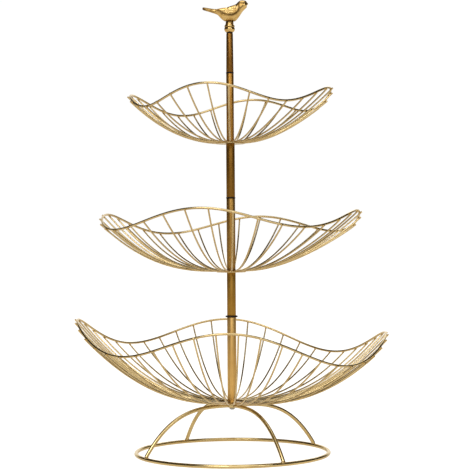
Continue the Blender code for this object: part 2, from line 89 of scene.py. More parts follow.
# Pole and threads
BORE_RADIUS = 0.0023
SEAT_TAKE_UP = 0.00014
SECTION_COUNT = 6
POLE_TOP_RADIUS = 0.0040
TUBE_ROUNDING = 0.00022
WASHER_ROUNDING = 0.0003
STUD_COUNT = 5
THREAD_PITCH = 0.0008
THREAD_CORE = 0.82

# Finial
NUT_BORE_DEPTH = 0.0056
NUT_SOCKET_DEPTH = 0.0030
BIRD_LENGTH = 0.0550
BIRD_HEIGHT = 0.0260
BIRD_WIDTH = 0.0144
BIRD_BEAK_REACH = 0.0225

UP = Vector((0.0, 0.0, 1.0))


# Working by hand: one piece at a time, nothing else selected

def only(*objs):
    """Deselects all, then selects these, the first one active."""
    if bpy.context.mode != "OBJECT":
        bpy.ops.object.mode_set(mode="OBJECT")
    bpy.ops.object.select_all(action="DESELECT")
    for obj in objs:
        obj.select_set(True)
    bpy.context.view_layer.objects.active = objs[0]


def named(name):
    """Names the object just made, and its mesh."""
    obj = bpy.context.object
    obj.name = name
    obj.data.name = name
    return obj


def edit(obj, mode="VERT"):
    """Opens the object in edit mode with nothing picked."""
    only(obj)
    bpy.ops.object.mode_set(mode="EDIT")
    bpy.ops.mesh.select_mode(type=mode)
    bpy.ops.mesh.select_all(action="DESELECT")


def pick_all():
    bpy.ops.mesh.select_all(action="SELECT")


def picked(obj, kind, wanted):
    """In edit mode, selects the vertices, edges or faces for which wanted is true."""
    bpy.ops.object.mode_set(mode="OBJECT")
    for item in getattr(obj.data, kind):
        item.select = bool(wanted(item))
    bpy.ops.object.mode_set(mode="EDIT")


def closed_up(obj, weld=0.000002, smooth_deg=40.0):
    """Merges doubles, turns the faces outwards, shades by angle and puts the place into the mesh."""
    edit(obj)
    pick_all()
    bpy.ops.mesh.remove_doubles(threshold=weld)
    bpy.ops.mesh.normals_make_consistent(inside=False)
    bpy.ops.object.mode_set(mode="OBJECT")
    bpy.ops.object.transform_apply(location=True, rotation=True, scale=True)
    bpy.ops.object.shade_smooth_by_angle(angle=math.radians(smooth_deg))
    return obj


def apply_all(obj):
    """Applies the object's modifiers in their order."""
    only(obj)
    for modifier in list(obj.modifiers):
        bpy.ops.object.modifier_apply(modifier=modifier.name)


def copied(obj, name):
    """A twin with its own mesh."""
    twin = obj.copy()
    twin.data = obj.data.copy()
    twin.name = twin.data.name = name
    bpy.context.scene.collection.objects.link(twin)
    return twin


def discard(*objs):
    """Removes patterns and cutters that have done their work."""
    for obj in objs:
        bpy.data.objects.remove(obj)


def joined(name, objs):
    """Joins the objects into one piece of this name."""
    only(*objs)
    bpy.ops.object.join()
    obj = named(name)
    bpy.ops.object.transform_apply(location=True, rotation=True, scale=True)
    return obj


def drawn_wire(name, runs, radius, loop=False, roundness=4):
    """Round wire along every run of points, cut square at its ends."""
    bpy.ops.curve.primitive_bezier_curve_add(location=(0.0, 0.0, 0.0))
    obj = named(name)
    curve = obj.data
    curve.splines.clear()
    for run in runs:
        spline = curve.splines.new("POLY")
        spline.points.add(len(run) - 1)
        for place, point in zip(spline.points, run):
            place.co = (*point, 1.0)
        spline.use_cyclic_u = loop
    curve.dimensions = "3D"
    curve.bevel_depth = radius
    curve.bevel_resolution = roundness
    curve.use_fill_caps = not loop
    only(obj)
    bpy.ops.object.convert(target="MESH")
    return closed_up(named(name))


def turned(name, outline, sides=48, closed=False, smooth_deg=35.0):
    """A lathe piece: the outline's (radius, height) corners drawn out in turn, then spun about the pole."""
    (radius, height), rest = outline[0], list(outline[1:])
    bpy.ops.mesh.primitive_plane_add(size=0.001, location=(0.0, 0.0, 0.0))
    obj = named(name)
    bpy.ops.object.mode_set(mode="EDIT")
    bpy.ops.mesh.select_mode(type="VERT")
    bpy.ops.mesh.merge(type="CENTER")
    bpy.ops.transform.translate(value=(radius, 0.0, height))
    if closed:
        rest.append(outline[0])
    for next_radius, next_height in rest:
        step = (next_radius - radius, 0.0, next_height - height)
        bpy.ops.mesh.extrude_vertices_move(TRANSFORM_OT_translate={"value": step})
        radius, height = next_radius, next_height
    pick_all()
    bpy.ops.mesh.spin(steps=sides, angle=math.tau, center=(0.0, 0.0, 0.0), axis=(0.0, 0.0, 1.0))
    return closed_up(obj, smooth_deg=smooth_deg)


def rounded(corners, size, points=3):
    """The outline with each corner that has a third number rounded by that share of size."""
    out = []
    count = len(corners)
    for index, corner in enumerate(corners):
        if len(corner) < 3:
            out.append(corner)
            continue
        here = Vector(corner[:2])
        before = Vector(corners[index - 1][:2])
        after = Vector(corners[(index + 1) % count][:2])
        cut = size * corner[2]
        start = here + (before - here).normalized() * min(cut, (before - here).length * 0.49)
        end = here + (after - here).normalized() * min(cut, (after - here).length * 0.49)
        for step in range(points + 1):
            t = step / points
            out.append(tuple(start * (1 - t) ** 2 + here * 2 * t * (1 - t) + end * t ** 2))
    return out


def bored(radius, low, high, share=2, top_radius=None):
    """Outline of a round piece with the pole's bore, each outer corner rounded by this share."""
    upper = top_radius or radius
    return [(BORE_RADIUS, low, 1), (radius, low, share), (upper, high, share), (BORE_RADIUS, high, 1)]


def seated(node_name):
    """The node's lowest and highest corners, drawn out until it all but touches what clamps it."""
    low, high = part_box(node_name)
    take_up = Vector((0.0, 0.0, SEAT_TAKE_UP))
    return Vector(low) - take_up, Vector(high) + take_up


def polar(azimuth, radius, height):
    """The point at this angle, in radians, about the pole."""
    return Vector((radius * math.cos(azimuth), radius * math.sin(azimuth), height))


# Finishes

# The Mix node's sockets share their names, so these go by number
FLOAT_A, FLOAT_B = 2, 3
COLOUR_A, COLOUR_B = 6, 7
FLOAT_OUT, COLOUR_OUT = 0, 2

SPECK_COLOUR = (0.16, 0.10, 0.04, 1.0)
FINISH_RELIEF = 0.0002
# Sizes of the painted reflection streaks along the pole's tubes, across and along
TUBE_STREAKS_ACROSS = 750.0
TUBE_STREAKS_ALONG = 5.0
# Grain and roughness of the darkened places on cast pieces, which are painted shade in creases and undercuts
DARKENING_GRAIN = 2200.0
DARKENING_ROUGHNESS = 0.42


def effect(name, inputs, outputs):
    """An empty shader group with its named sockets, and the nodes at its two ends."""
    group = bpy.data.node_groups.new(name, "ShaderNodeTree")
    for socket, (kind, value) in inputs.items():
        made = group.interface.new_socket(name=socket, in_out="INPUT", socket_type=kind)
        made.default_value = value
    for socket, kind in outputs.items():
        group.interface.new_socket(name=socket, in_out="OUTPUT", socket_type=kind)
    start = group.nodes.new("NodeGroupInput")
    end = group.nodes.new("NodeGroupOutput")
    return group, start, end


def node(tree, kind, values=None, **settings):
    """A new shader node with these settings, and these values on its inputs by name or number."""
    made = tree.nodes.new(f"ShaderNode{kind}")
    for key, setting in settings.items():
        setattr(made, key, setting)
    for socket, value in (values or {}).items():
        made.inputs[socket].default_value = value
    return made


def plating_effect():
    """Brass plating: drifts between a light and a deep tone, fine specks and a sheen that varies."""
    group, start, end = effect(
        "brass plating",
        {
            "Light": ("NodeSocketColor", (0.9, 0.75, 0.45, 1.0)),
            "Deep": ("NodeSocketColor", (0.6, 0.42, 0.18, 1.0)),
            "Drift Size": ("NodeSocketFloat", 40.0),
            "Speck Size": ("NodeSocketFloat", 900.0),
            "Specks": ("NodeSocketFloat", 0.2),
            "Sheen Low": ("NodeSocketFloat", 0.18),
            "Sheen High": ("NodeSocketFloat", 0.34),
        },
        {"Color": "NodeSocketColor", "Roughness": "NodeSocketFloat", "Height": "NodeSocketFloat"},
    )
    link = group.links.new
    place = node(group, "TexCoord")
    drift = node(group, "TexNoise", {"Detail": 3.0, "Roughness": 0.6})
    link(place.outputs["Object"], drift.inputs["Vector"])
    link(start.outputs["Drift Size"], drift.inputs["Scale"])
    spread = node(group, "MapRange", {"From Min": 0.32, "From Max": 0.68})
    link(drift.outputs["Fac"], spread.inputs["Value"])
    tone = node(group, "Mix", data_type="RGBA")
    link(spread.outputs["Result"], tone.inputs["Factor"])
    link(start.outputs["Deep"], tone.inputs[COLOUR_A])
    link(start.outputs["Light"], tone.inputs[COLOUR_B])
    speck = node(group, "TexNoise", {"Detail": 2.0, "Roughness": 0.5})
    link(place.outputs["Object"], speck.inputs["Vector"])
    link(start.outputs["Speck Size"], speck.inputs["Scale"])
    few = node(group, "MapRange", {"From Min": 0.60, "From Max": 0.75})
    link(speck.outputs["Fac"], few.inputs["Value"])
    amount = node(group, "Math", operation="MULTIPLY")
    link(few.outputs["Result"], amount.inputs[0])
    link(start.outputs["Specks"], amount.inputs[1])
    dulled = node(group, "Mix", {COLOUR_B: SPECK_COLOUR}, data_type="RGBA")
    link(amount.outputs[0], dulled.inputs["Factor"])
    link(tone.outputs[COLOUR_OUT], dulled.inputs[COLOUR_A])
    link(dulled.outputs[COLOUR_OUT], end.inputs["Color"])
    sheen = node(group, "Mix", data_type="FLOAT")
    link(speck.outputs["Fac"], sheen.inputs["Factor"])
    link(start.outputs["Sheen Low"], sheen.inputs[FLOAT_A])
    link(start.outputs["Sheen High"], sheen.inputs[FLOAT_B])
    link(sheen.outputs[FLOAT_OUT], end.inputs["Roughness"])
    link(speck.outputs["Fac"], end.inputs["Height"])
    return group


def reflection_streak_effect():
    """Long faint streaks along a vertical tube: painted reflections in its colour, and a faint relief."""
    group, start, end = effect(
        "painted reflection streaks",
        {"Across": ("NodeSocketFloat", 900.0), "Along": ("NodeSocketFloat", 6.0)},
        {"Mask": "NodeSocketFloat", "Height": "NodeSocketFloat"},
    )
    link = group.links.new
    place = node(group, "TexCoord")
    stretch = node(group, "CombineXYZ")
    link(start.outputs["Across"], stretch.inputs["X"])
    link(start.outputs["Across"], stretch.inputs["Y"])
    link(start.outputs["Along"], stretch.inputs["Z"])
    scaled = node(group, "VectorMath", operation="MULTIPLY")
    link(place.outputs["Object"], scaled.inputs[0])
    link(stretch.outputs["Vector"], scaled.inputs[1])
    lines = node(group, "TexNoise", {"Scale": 1.0, "Detail": 3.0, "Roughness": 0.65})
    link(scaled.outputs["Vector"], lines.inputs["Vector"])
    spread = node(group, "MapRange", {"From Min": 0.36, "From Max": 0.64})
    link(lines.outputs["Fac"], spread.inputs["Value"])
    link(spread.outputs["Result"], end.inputs["Mask"])
    link(lines.outputs["Fac"], end.inputs["Height"])
    return group


PLATING = plating_effect()
REFLECTION_STREAKS = reflection_streak_effect()


def plated(name, light, deep, drift=40.0, speck=2400.0, specks=0.2, sheen=(0.18, 0.34), bump=0.05,
           metallic=1.0):
    """A plated finish, its tone, specks and sheen from the plating effect."""
    material = bpy.data.materials.new(name)
    material.use_nodes = True
    tree = material.node_tree
    shader = tree.nodes["Principled BSDF"]
    shader.inputs["Metallic"].default_value = metallic
    finish = node(tree, "Group", {
        "Light": (*light, 1.0),
        "Deep": (*deep, 1.0),
        "Drift Size": drift,
        "Speck Size": speck,
        "Specks": specks,
        "Sheen Low": sheen[0],
        "Sheen High": sheen[1],
    }, node_tree=PLATING)
    bumps = node(tree, "Bump", {"Strength": bump, "Distance": FINISH_RELIEF})
    link = tree.links.new
    link(finish.outputs["Color"], shader.inputs["Base Color"])
    link(finish.outputs["Roughness"], shader.inputs["Roughness"])
    link(finish.outputs["Height"], bumps.inputs["Height"])
    link(bumps.outputs["Normal"], shader.inputs["Normal"])
    return material


def streaked_tube(name, light, deep, streak_colour, lines=0.35, sheen=(0.30, 0.44)):
    """Plated tube with painted reflection streaks along it."""
    material = plated(name, light, deep, drift=60.0, speck=2600.0, specks=0.06, sheen=sheen, bump=0.02)
    tree = material.node_tree
    shader = tree.nodes["Principled BSDF"]
    link = tree.links.new
    streaking = node(tree, "Group", {"Across": TUBE_STREAKS_ACROSS, "Along": TUBE_STREAKS_ALONG}, node_tree=REFLECTION_STREAKS)
    # The streaks darken the tube's colour: painted reflections along it
    amount = node(tree, "Math", {1: lines}, operation="MULTIPLY")
    link(streaking.outputs["Mask"], amount.inputs[0])
    streaked = node(tree, "Mix", {COLOUR_B: (*streak_colour, 1.0)}, data_type="RGBA")
    link(amount.outputs[0], streaked.inputs["Factor"])
    plain = shader.inputs["Base Color"].links[0].from_socket
    link(plain, streaked.inputs[COLOUR_A])
    link(streaked.outputs[COLOUR_OUT], shader.inputs["Base Color"])
    bumps = next(n for n in tree.nodes if n.type == "BUMP")
    link(streaking.outputs["Height"], bumps.inputs["Height"])
    return material


def with_shade_and_darkening(material, colour):
    """Darkens the colour and raises roughness where the piece's own darkening attribute is high: painted
    shade in creases and undercuts.
    """
    tree = material.node_tree
    shader = tree.nodes["Principled BSDF"]
    link = tree.links.new
    darkened = node(tree, "Attribute", attribute_name="shade_and_darkening")
    breakup = node(tree, "TexNoise", {"Scale": DARKENING_GRAIN, "Detail": 3.0})
    place = node(tree, "TexCoord")
    link(place.outputs["Object"], breakup.inputs["Vector"])
    spread = node(tree, "MapRange",
                  {"From Min": 0.3, "From Max": 0.7, "To Min": 0.86, "To Max": 1.08})
    link(breakup.outputs["Fac"], spread.inputs["Value"])
    amount = node(tree, "Math", operation="MULTIPLY", use_clamp=True)
    link(darkened.outputs["Fac"], amount.inputs[0])
    link(spread.outputs["Result"], amount.inputs[1])
    for socket, kind, undarkened, dark, result, value in (
        ("Base Color", "RGBA", COLOUR_A, COLOUR_B, COLOUR_OUT, (*colour, 1.0)),
        ("Roughness", "FLOAT", FLOAT_A, FLOAT_B, FLOAT_OUT, DARKENING_ROUGHNESS),
    ):
        blend = node(tree, "Mix", {dark: value}, data_type=kind)
        link(shader.inputs[socket].links[0].from_socket, blend.inputs[undarkened])
        link(amount.outputs[0], blend.inputs["Factor"])
        link(blend.outputs[result], shader.inputs[socket])
    return material


def lay_shade_and_darkening(piece, level):
    """Writes the darkening attribute from level(point), 0 where unchanged and 1 where darkest."""
    mesh = piece.data
    layer = mesh.attributes.new("shade_and_darkening", "FLOAT", "POINT")
    layer.data.foreach_set("value", [min(max(level(v.co), 0.0), 1.0) for v in mesh.vertices])
    return piece


WIRE_GOLD = plated("bowl wire gilt", (0.80, 0.655, 0.37), (0.66, 0.51, 0.26),
                   drift=26.0, specks=0.1, sheen=(0.10, 0.18), bump=0.015)
WELD_GOLD = plated("weld gilt", (0.70, 0.55, 0.30), (0.42, 0.30, 0.14),
                   drift=160.0, speck=900.0, specks=0.5, sheen=(0.30, 0.50), bump=0.25)
BASE_GOLD = plated("base gilt", (0.80, 0.66, 0.36), (0.66, 0.51, 0.25),
                   drift=30.0, specks=0.15, sheen=(0.10, 0.20), bump=0.015)
# The cast brass's dark colour is painted shade in creases, undercuts and underneath; it also darkens the
# tail's end, the eyes and the feet
CAST_GOLD = with_shade_and_darkening(plated("cast brass", (0.90, 0.68, 0.32), (0.66, 0.42, 0.13),
                               drift=160.0, specks=0.15, sheen=(0.10, 0.20), bump=0.03),
                        (0.115, 0.055, 0.008))
STEEL = plated("zinc steel", (0.52, 0.52, 0.50), (0.34, 0.34, 0.33),
               drift=300.0, specks=0.3, sheen=(0.28, 0.42), bump=0.1)
RUBBER = plated("black rubber", (0.026, 0.016, 0.011), (0.012, 0.008, 0.006),
                drift=200.0, specks=0.5, sheen=(0.55, 0.78), bump=0.3, metallic=0.0)
RUBBER.node_tree.nodes["Principled BSDF"].inputs["Specular IOR Level"].default_value = 0.2

# The light, deep and line tones of each pole section, from the lowest up: each section lighter or darker as
# the room's light falls on it, painted light and shade on copies of one gilt
POLE_LIT_AND_SHADED_TONES = (
    ((0.96, 0.66, 0.26), (0.86, 0.56, 0.20), (0.66, 0.40, 0.12)),
    ((0.58, 0.345, 0.075), (0.48, 0.265, 0.048), (0.32, 0.165, 0.03)),
    ((0.55, 0.34, 0.10), (0.46, 0.26, 0.065), (0.32, 0.165, 0.038)),
    ((0.37, 0.20, 0.040), (0.29, 0.142, 0.023), (0.185, 0.083, 0.014)),
    ((0.61, 0.335, 0.08), (0.50, 0.25, 0.05), (0.34, 0.155, 0.027)),
    ((0.37, 0.185, 0.042), (0.29, 0.136, 0.026), (0.195, 0.084, 0.014)),
)
POLE_GOLDS = [streaked_tube(f"pole gilt {n}", *tones) for n, tones in enumerate(POLE_LIT_AND_SHADED_TONES, 1)]


def finished(piece, material, slot, body, *nodes):
    """Gives a piece its finish and its body, and hides the nodes that it stands for. The slot is not used."""
    piece.data.materials.clear()
    piece.data.materials.append(material)
    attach(piece, body)
    if nodes:
        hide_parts(*nodes)
    return piece


# Bowls

class Bowl:
    """The wires of one bowl, from its own sizes."""

    def __init__(self, tier, spoke_count, tip, dip, rise_power, hub_land, turns, leans):
        self.tier = tier
        self.spoke_count = spoke_count
        self.tip_radius, self.tip_rise = tip
        self.dip_radius, self.dip_rise = dip
        self.turn, self.spoke_turn, self.crowding = (math.radians(turn) for turn in turns)
        self.lean_x, self.lean_y, self.belly_lean = leans
        self.rise_power = rise_power
        self.inner_radius = spoke_count * (2 * SPOKE_RADIUS + SPOKE_BASE_GAP) / math.tau
        self.hub_radius = self.inner_radius + hub_land
        self.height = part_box(f"{tier}_spokes")[0].z + HUB_THICKNESS + SPOKE_RADIUS - SPOKE_WELD_DEPTH

    def rim_point(self, azimuth):
        """(radius, rise) of the wavy rim's middle line."""
        wave = (1.0 + math.cos(WAVE_COUNT * (azimuth - self.turn))) / 2
        return (self.dip_radius + (self.tip_radius - self.dip_radius) * wave,
                self.dip_rise + (self.tip_rise - self.dip_rise) * wave)

    def slope(self, azimuth):
        """How steeply the spoke reaches the rim, in radians."""
        radius, rise = self.rim_point(azimuth)
        return math.atan(self.rise_power * rise / (radius - self.hub_radius))

    def beside_rim(self, azimuth, apart):
        """(radius, rise) on the rim's outer side, square to the spoke and this far from its centre."""
        radius, rise = self.rim_point(azimuth)
        slope = self.slope(azimuth)
        return radius + apart * math.sin(slope), rise - apart * math.cos(slope)

    def placed(self, azimuth, radius, rise):
        """The point in the room, with the bowl's slight lean put in."""
        point = polar(azimuth, radius, rise)
        share = min(max(radius - self.hub_radius, 0.0) / (self.tip_radius - self.hub_radius), 1.0)
        whole = (self.lean_x * point.x + self.lean_y * point.y) * share ** LEAN_POWER
        belly = self.belly_lean * point.x * math.sin(math.pi * share)
        return point + Vector((0.0, 0.0, whole + belly + self.height))

    def spoke_run(self, azimuth, points=20):
        """The middle line of one spoke, from the hub out past the rim."""
        end_radius, end_rise = self.beside_rim(azimuth, SPOKE_RADIUS + RIM_WIRE_RADIUS - RIM_WELD_DEPTH)
        reach = end_radius + SPOKE_OVERHANG * math.cos(self.slope(azimuth)) - self.hub_radius
        run = [self.placed(azimuth, self.inner_radius, 0.0)]
        for index in range(points):
            radius = self.hub_radius + reach * (index / (points - 1)) ** SPOKE_POINT_POWER
            share = (radius - self.hub_radius) / (end_radius - self.hub_radius)
            run.append(self.placed(azimuth, radius, end_rise * share ** self.rise_power))
        return run

    def spoke_azimuths(self):
        """Even all round, but crowded a little to one side."""
        first = self.turn + self.spoke_turn
        even = [first + math.tau * index / self.spoke_count for index in range(self.spoke_count)]
        return [azimuth + self.crowding * math.sin(azimuth) for azimuth in even]

    def rim_run(self, points=240):
        return [self.placed(a, *self.rim_point(a)) for a in (math.tau * i / points for i in range(points))]

    def crossings(self, step=0.01):
        """Where each spoke meets the rim: the weld's place, the rim's run there and the way off the rim."""
        welds = []
        for azimuth in self.spoke_azimuths():
            place = self.placed(azimuth, *self.beside_rim(azimuth, RIM_WIRE_RADIUS - RIM_WELD_DEPTH / 2))
            before = self.placed(azimuth - step, *self.rim_point(azimuth - step))
            after = self.placed(azimuth + step, *self.rim_point(azimuth + step))
            centre = self.placed(azimuth, *self.rim_point(azimuth))
            welds.append((place, after - before, place - centre))
        return welds

    def roots(self, height):
        """Where each spoke lies on the hub disc, as for the crossings."""
        radius = self.inner_radius + self.spoke_count * HUB_BEAD_STEP
        return [(polar(a, radius, height), polar(a, 1.0, 0.0), UP) for a in self.spoke_azimuths()]


# A bead starts as a ball one metre across: its crown is drawn in and two of its corners out
BEAD_BELT = 0.1
BEAD_CORNER = 0.02
CROWN_SHARES = (0.86, 0.78, 0.9)
CORNER_SHARES = (1.10, 1.06, 1.0)


def weld_bead(name, size):
    """A flattened drop of fused metal with an uneven edge, long in X and thin in Z."""
    bpy.ops.mesh.primitive_uv_sphere_add(segments=8, ring_count=5, radius=0.5, location=(0.0, 0.0, 0.0))
    obj = named(name)
    edit(obj)
    picked(obj, "vertices", lambda v: v.co.z > BEAD_BELT)
    bpy.ops.transform.resize(value=CROWN_SHARES)
    picked(obj, "vertices", lambda v: abs(v.co.z) < BEAD_BELT and v.co.x * v.co.y > BEAD_CORNER)
    bpy.ops.transform.resize(value=CORNER_SHARES)
    pick_all()
    bpy.ops.transform.resize(value=size, center_override=(0.0, 0.0, 0.0))
    return closed_up(obj, smooth_deg=80.0)


def beads_at(name, bead, places):
    """One copy of the bead at each (place, along, upward), joined into one piece."""
    row = []
    for number, (place, along, upward) in enumerate(places):
        across = upward.cross(along).normalized()
        along = across.cross(upward).normalized()
        twin = copied(bead, f"{name}_{number}")
        turn = Matrix((along, across, upward.normalized())).transposed().to_4x4()
        twin.matrix_world = Matrix.Translation(place) @ turn
        row.append(twin)
    return joined(name, row)


def make_bowl(bowl):
    """Spokes on their hub disc, the wavy rim, and the welds where they cross."""
    tier, body = bowl.tier, f"{bowl.tier}_bowl"
    runs = [bowl.spoke_run(a) for a in bowl.spoke_azimuths()]
    spokes = drawn_wire(f"{tier}_spoke_wires", runs, SPOKE_RADIUS, roundness=3)
    finished(spokes, WIRE_GOLD, "gold_wire", body, f"{tier}_spokes")
    rim = drawn_wire(f"{tier}_rim_wire", [bowl.rim_run()], RIM_WIRE_RADIUS, loop=True)
    finished(rim, WIRE_GOLD, "gold_wire", body, f"{tier}_rim")
    top = bowl.height - SPOKE_RADIUS + SPOKE_WELD_DEPTH
    low = top - HUB_THICKNESS - SEAT_TAKE_UP
    outline = rounded(bored(bowl.hub_radius, low, top, share=1), HUB_ROUNDING)
    hub = turned(f"{tier}_hub_disc", outline, sides=64, closed=True)
    finished(hub, WIRE_GOLD, "gold_wire", body)
    bead = weld_bead("bead_pattern", RIM_BEAD)
    finished(beads_at(f"{tier}_rim_welds", bead, bowl.crossings()), WELD_GOLD, "gold_wire", body)
    foot = weld_bead("foot_pattern", HUB_BEAD)
    finished(beads_at(f"{tier}_hub_welds", foot, bowl.roots(top)), WELD_GOLD, "gold_wire", body)
    discard(bead, foot)


# Tips and dips are the rim's (radius, rise). Turns, in degrees: the waves, the spokes, the crowding.
# Leans, in metres of rise for each metre: along X, along Y, and the belly's along X.
BOWLS = (
    Bowl("bottom", 48, tip=(0.1842, 0.0908), dip=(0.1806, 0.0575), rise_power=2.25, hub_land=0.0009,
         turns=(0.4, 1.3, -0.7), leans=(-0.0490, -0.0085, -0.0060)),
    Bowl("middle", 36, tip=(0.1535, 0.0700), dip=(0.1550, 0.0485), rise_power=2.05, hub_land=0.0047,
         turns=(-13.2, -3.3, 2.5), leans=(0.0020, -0.0170, 0.0340)),
    Bowl("top", 32, tip=(0.1210, 0.0608), dip=(0.1145, 0.0407), rise_power=1.85, hub_land=0.0060,
         turns=(-12.6, 1.5, 0.7), leans=(0.0125, 0.0079, 0.0220)),
)
for each_bowl in BOWLS:
    make_bowl(each_bowl)


# Base: ring, bent legs, boss and screw

def leg_run(azimuth, points=40):
    """From inside the boss, level at first and then ever steeper, down onto the ring's top."""
    fall = LEG_CROWN_HEIGHT - LEG_FOOT_HEIGHT
    run = []
    for index in range(points):
        reach = math.sin(math.pi / 2 * index / (points - 1))
        radius = LEG_START_RADIUS + (LEG_FOOT_RADIUS - LEG_START_RADIUS) * reach
        run.append(polar(azimuth, radius, LEG_CROWN_HEIGHT - fall * reach ** LEG_BEND_POWER))
    return run


def make_base(points=240):
    circle = [polar(math.tau * i / points, RING_RADIUS, RING_WIRE_RADIUS) for i in range(points)]
    ring = drawn_wire("base_ring_wire", [circle], RING_WIRE_RADIUS, loop=True, roundness=6)
    finished(ring, BASE_GOLD, "gold_base", "stand", "base_ring")
    drop = weld_bead("drop_pattern", FOOT_BEAD)
    root = weld_bead("root_pattern", SHOULDER_BEAD)
    feet, shoulders = [], []
    for number in range(1, LEG_COUNT + 1):
        azimuth = math.radians(FIRST_LEG_DEG) + math.tau * (number - 1) / LEG_COUNT
        leg = drawn_wire(f"base_leg_wire_{number}", [leg_run(azimuth)], LEG_WIRE_RADIUS, roundness=6)
        finished(leg, BASE_GOLD, "gold_base", "stand", f"base_leg_{number}")
        around, outward = polar(azimuth + math.pi / 2, 1.0, 0.0), polar(azimuth, 1.0, 0.0)
        feet.append((polar(azimuth, RING_RADIUS, FOOT_BEAD_HEIGHT), around, UP))
        shoulders.append((polar(azimuth, SHOULDER_BEAD_RADIUS, LEG_CROWN_HEIGHT), outward, UP))
    finished(beads_at("base_foot_welds", drop, feet), WELD_GOLD, "gold_base", "stand")
    finished(beads_at("base_boss_welds", root, shoulders), WELD_GOLD, "gold_base", "stand")
    discard(drop, root)
    low, high = seated("base_boss")
    boss = turned("base_boss_collar", rounded(bored(high.x, low.z, high.z), BOSS_ROUNDING), closed=True)
    finished(boss, BASE_GOLD, "gold_base", "stand", "base_boss")


def threaded(name, radius, bottom, top, sides=24, cuts_per_turn=4, taper=1.2):
    """A rod whose side is ridged by a true helical thread, its ends tapered over this many turns."""
    length = top - bottom
    bpy.ops.mesh.primitive_cylinder_add(vertices=sides, radius=radius, depth=length,
                                        location=(0.0, 0.0, bottom + length / 2))
    obj = named(name)
    bpy.ops.object.transform_apply(location=True, rotation=False, scale=False)
    edit(obj, "EDGE")
    mesh = obj.data

    def runs_along(edge):
        first, second = (mesh.vertices[index].co.z for index in edge.vertices)
        return abs(first - second) > length / 2

    picked(obj, "edges", runs_along)
    bpy.ops.mesh.subdivide(number_cuts=int(length / THREAD_PITCH * cuts_per_turn))
    bpy.ops.object.mode_set(mode="OBJECT")
    for vertex in mesh.vertices:
        azimuth = math.atan2(vertex.co.y, vertex.co.x)
        turn = ((vertex.co.z - bottom) / THREAD_PITCH - azimuth / math.tau) % 1.0
        ridge = 1.0 - abs(2.0 * turn - 1.0)
        near_end = min(vertex.co.z - bottom, top - vertex.co.z) / (taper * THREAD_PITCH)
        share = THREAD_CORE + (1.0 - THREAD_CORE) * ridge * min(near_end, 1.0)
        vertex.co.x *= share
        vertex.co.y *= share
    return closed_up(obj, smooth_deg=50.0)


def make_screw(dome_steps=8):
    """Domed head with a cross recess, and its threaded shank up into the lowest section."""
    low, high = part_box("base_screw")
    head_top = low.z + SCREW_HEAD_HEIGHT
    dome = [(0.0, low.z)]
    for step in range(1, dome_steps + 1):
        angle = math.pi / 2 * step / dome_steps
        dome.append((SCREW_HEAD_RADIUS * math.sin(angle),
                     head_top - SCREW_SIDE_HEIGHT - SCREW_DOME_HEIGHT * math.cos(angle)))
    dome += [(SCREW_HEAD_RADIUS, head_top - SCREW_EDGE), (SCREW_HEAD_RADIUS - SCREW_EDGE, head_top)]
    dome.append((0.0, head_top))
    head = turned("base_screw_head", dome)
    bpy.ops.mesh.primitive_cube_add(size=1.0, location=(0.0, 0.0, low.z))
    cross = named("cross_pattern")
    bpy.ops.transform.resize(value=RECESS_SIZE)
    twin = copied(cross, "cross_pattern_turned")
    twin.rotation_euler.z = math.pi / 2
    for cutter in (cross, twin):
        modifier = head.modifiers.new("recess", "BOOLEAN")
        modifier.operation = "DIFFERENCE"
        modifier.solver = "EXACT"
        modifier.object = cutter
    apply_all(head)
    discard(cross, twin)
    closed_up(head)
    finished(head, STEEL, "steel", "stand", "base_screw")
    shank = threaded("base_screw_shank", SCREW_SHANK_RADIUS, head_top - SCREW_EDGE, high.z)
    finished(shank, STEEL, "steel", "stand")


make_base()
make_screw()


# Pole: sections, washers and studs

# The finial's black washer sits in the dark line under the ball nut, which is the nut's shadow: a dark ring
# as painted shadow
WASHERS = (("washer_low", "stand"), ("washer_middle", "stand"), ("washer_high", "stand"),
           ("washer_finial", "finial_seat"))


def make_pole():
    for number in range(1, SECTION_COUNT + 1):
        low, high = seated(f"pole_section_{number}")
        top_radius = POLE_TOP_RADIUS if number == SECTION_COUNT else high.x
        outline = rounded(bored(high.x, low.z, high.z, top_radius=top_radius), TUBE_ROUNDING)
        tube = turned(f"pole_tube_{number}", outline, sides=64, closed=True)
        finished(tube, POLE_GOLDS[number - 1], "gold_pole", "stand", f"pole_section_{number}")
    for node_name, body in WASHERS:
        low, high = seated(node_name)
        outline = rounded(bored(high.x, low.z, high.z), WASHER_ROUNDING)
        washer = turned(f"{node_name}_ring", outline, closed=True)
        finished(washer, RUBBER, "black_rubber", body, node_name)
    low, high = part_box("pole_stud_1")
    pattern = threaded("stud_pattern", high.x, low.z, high.z)
    for number in range(1, STUD_COUNT + 1):
        stud = copied(pattern, f"pole_stud_thread_{number}")
        only(stud)
        stud.location.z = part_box(f"pole_stud_{number}")[0].z - low.z
        bpy.ops.object.transform_apply(location=True, rotation=False, scale=False)
        finished(stud, STEEL, "steel", "stand", f"pole_stud_{number}")
    discard(pattern)
    low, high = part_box("finial_stud")
    stud = threaded("finial_stud_thread", high.x, low.z, high.z)
    finished(stud, STEEL, "steel", "stand", "finial_stud")


make_pole()


# Finial: ball nut and bird

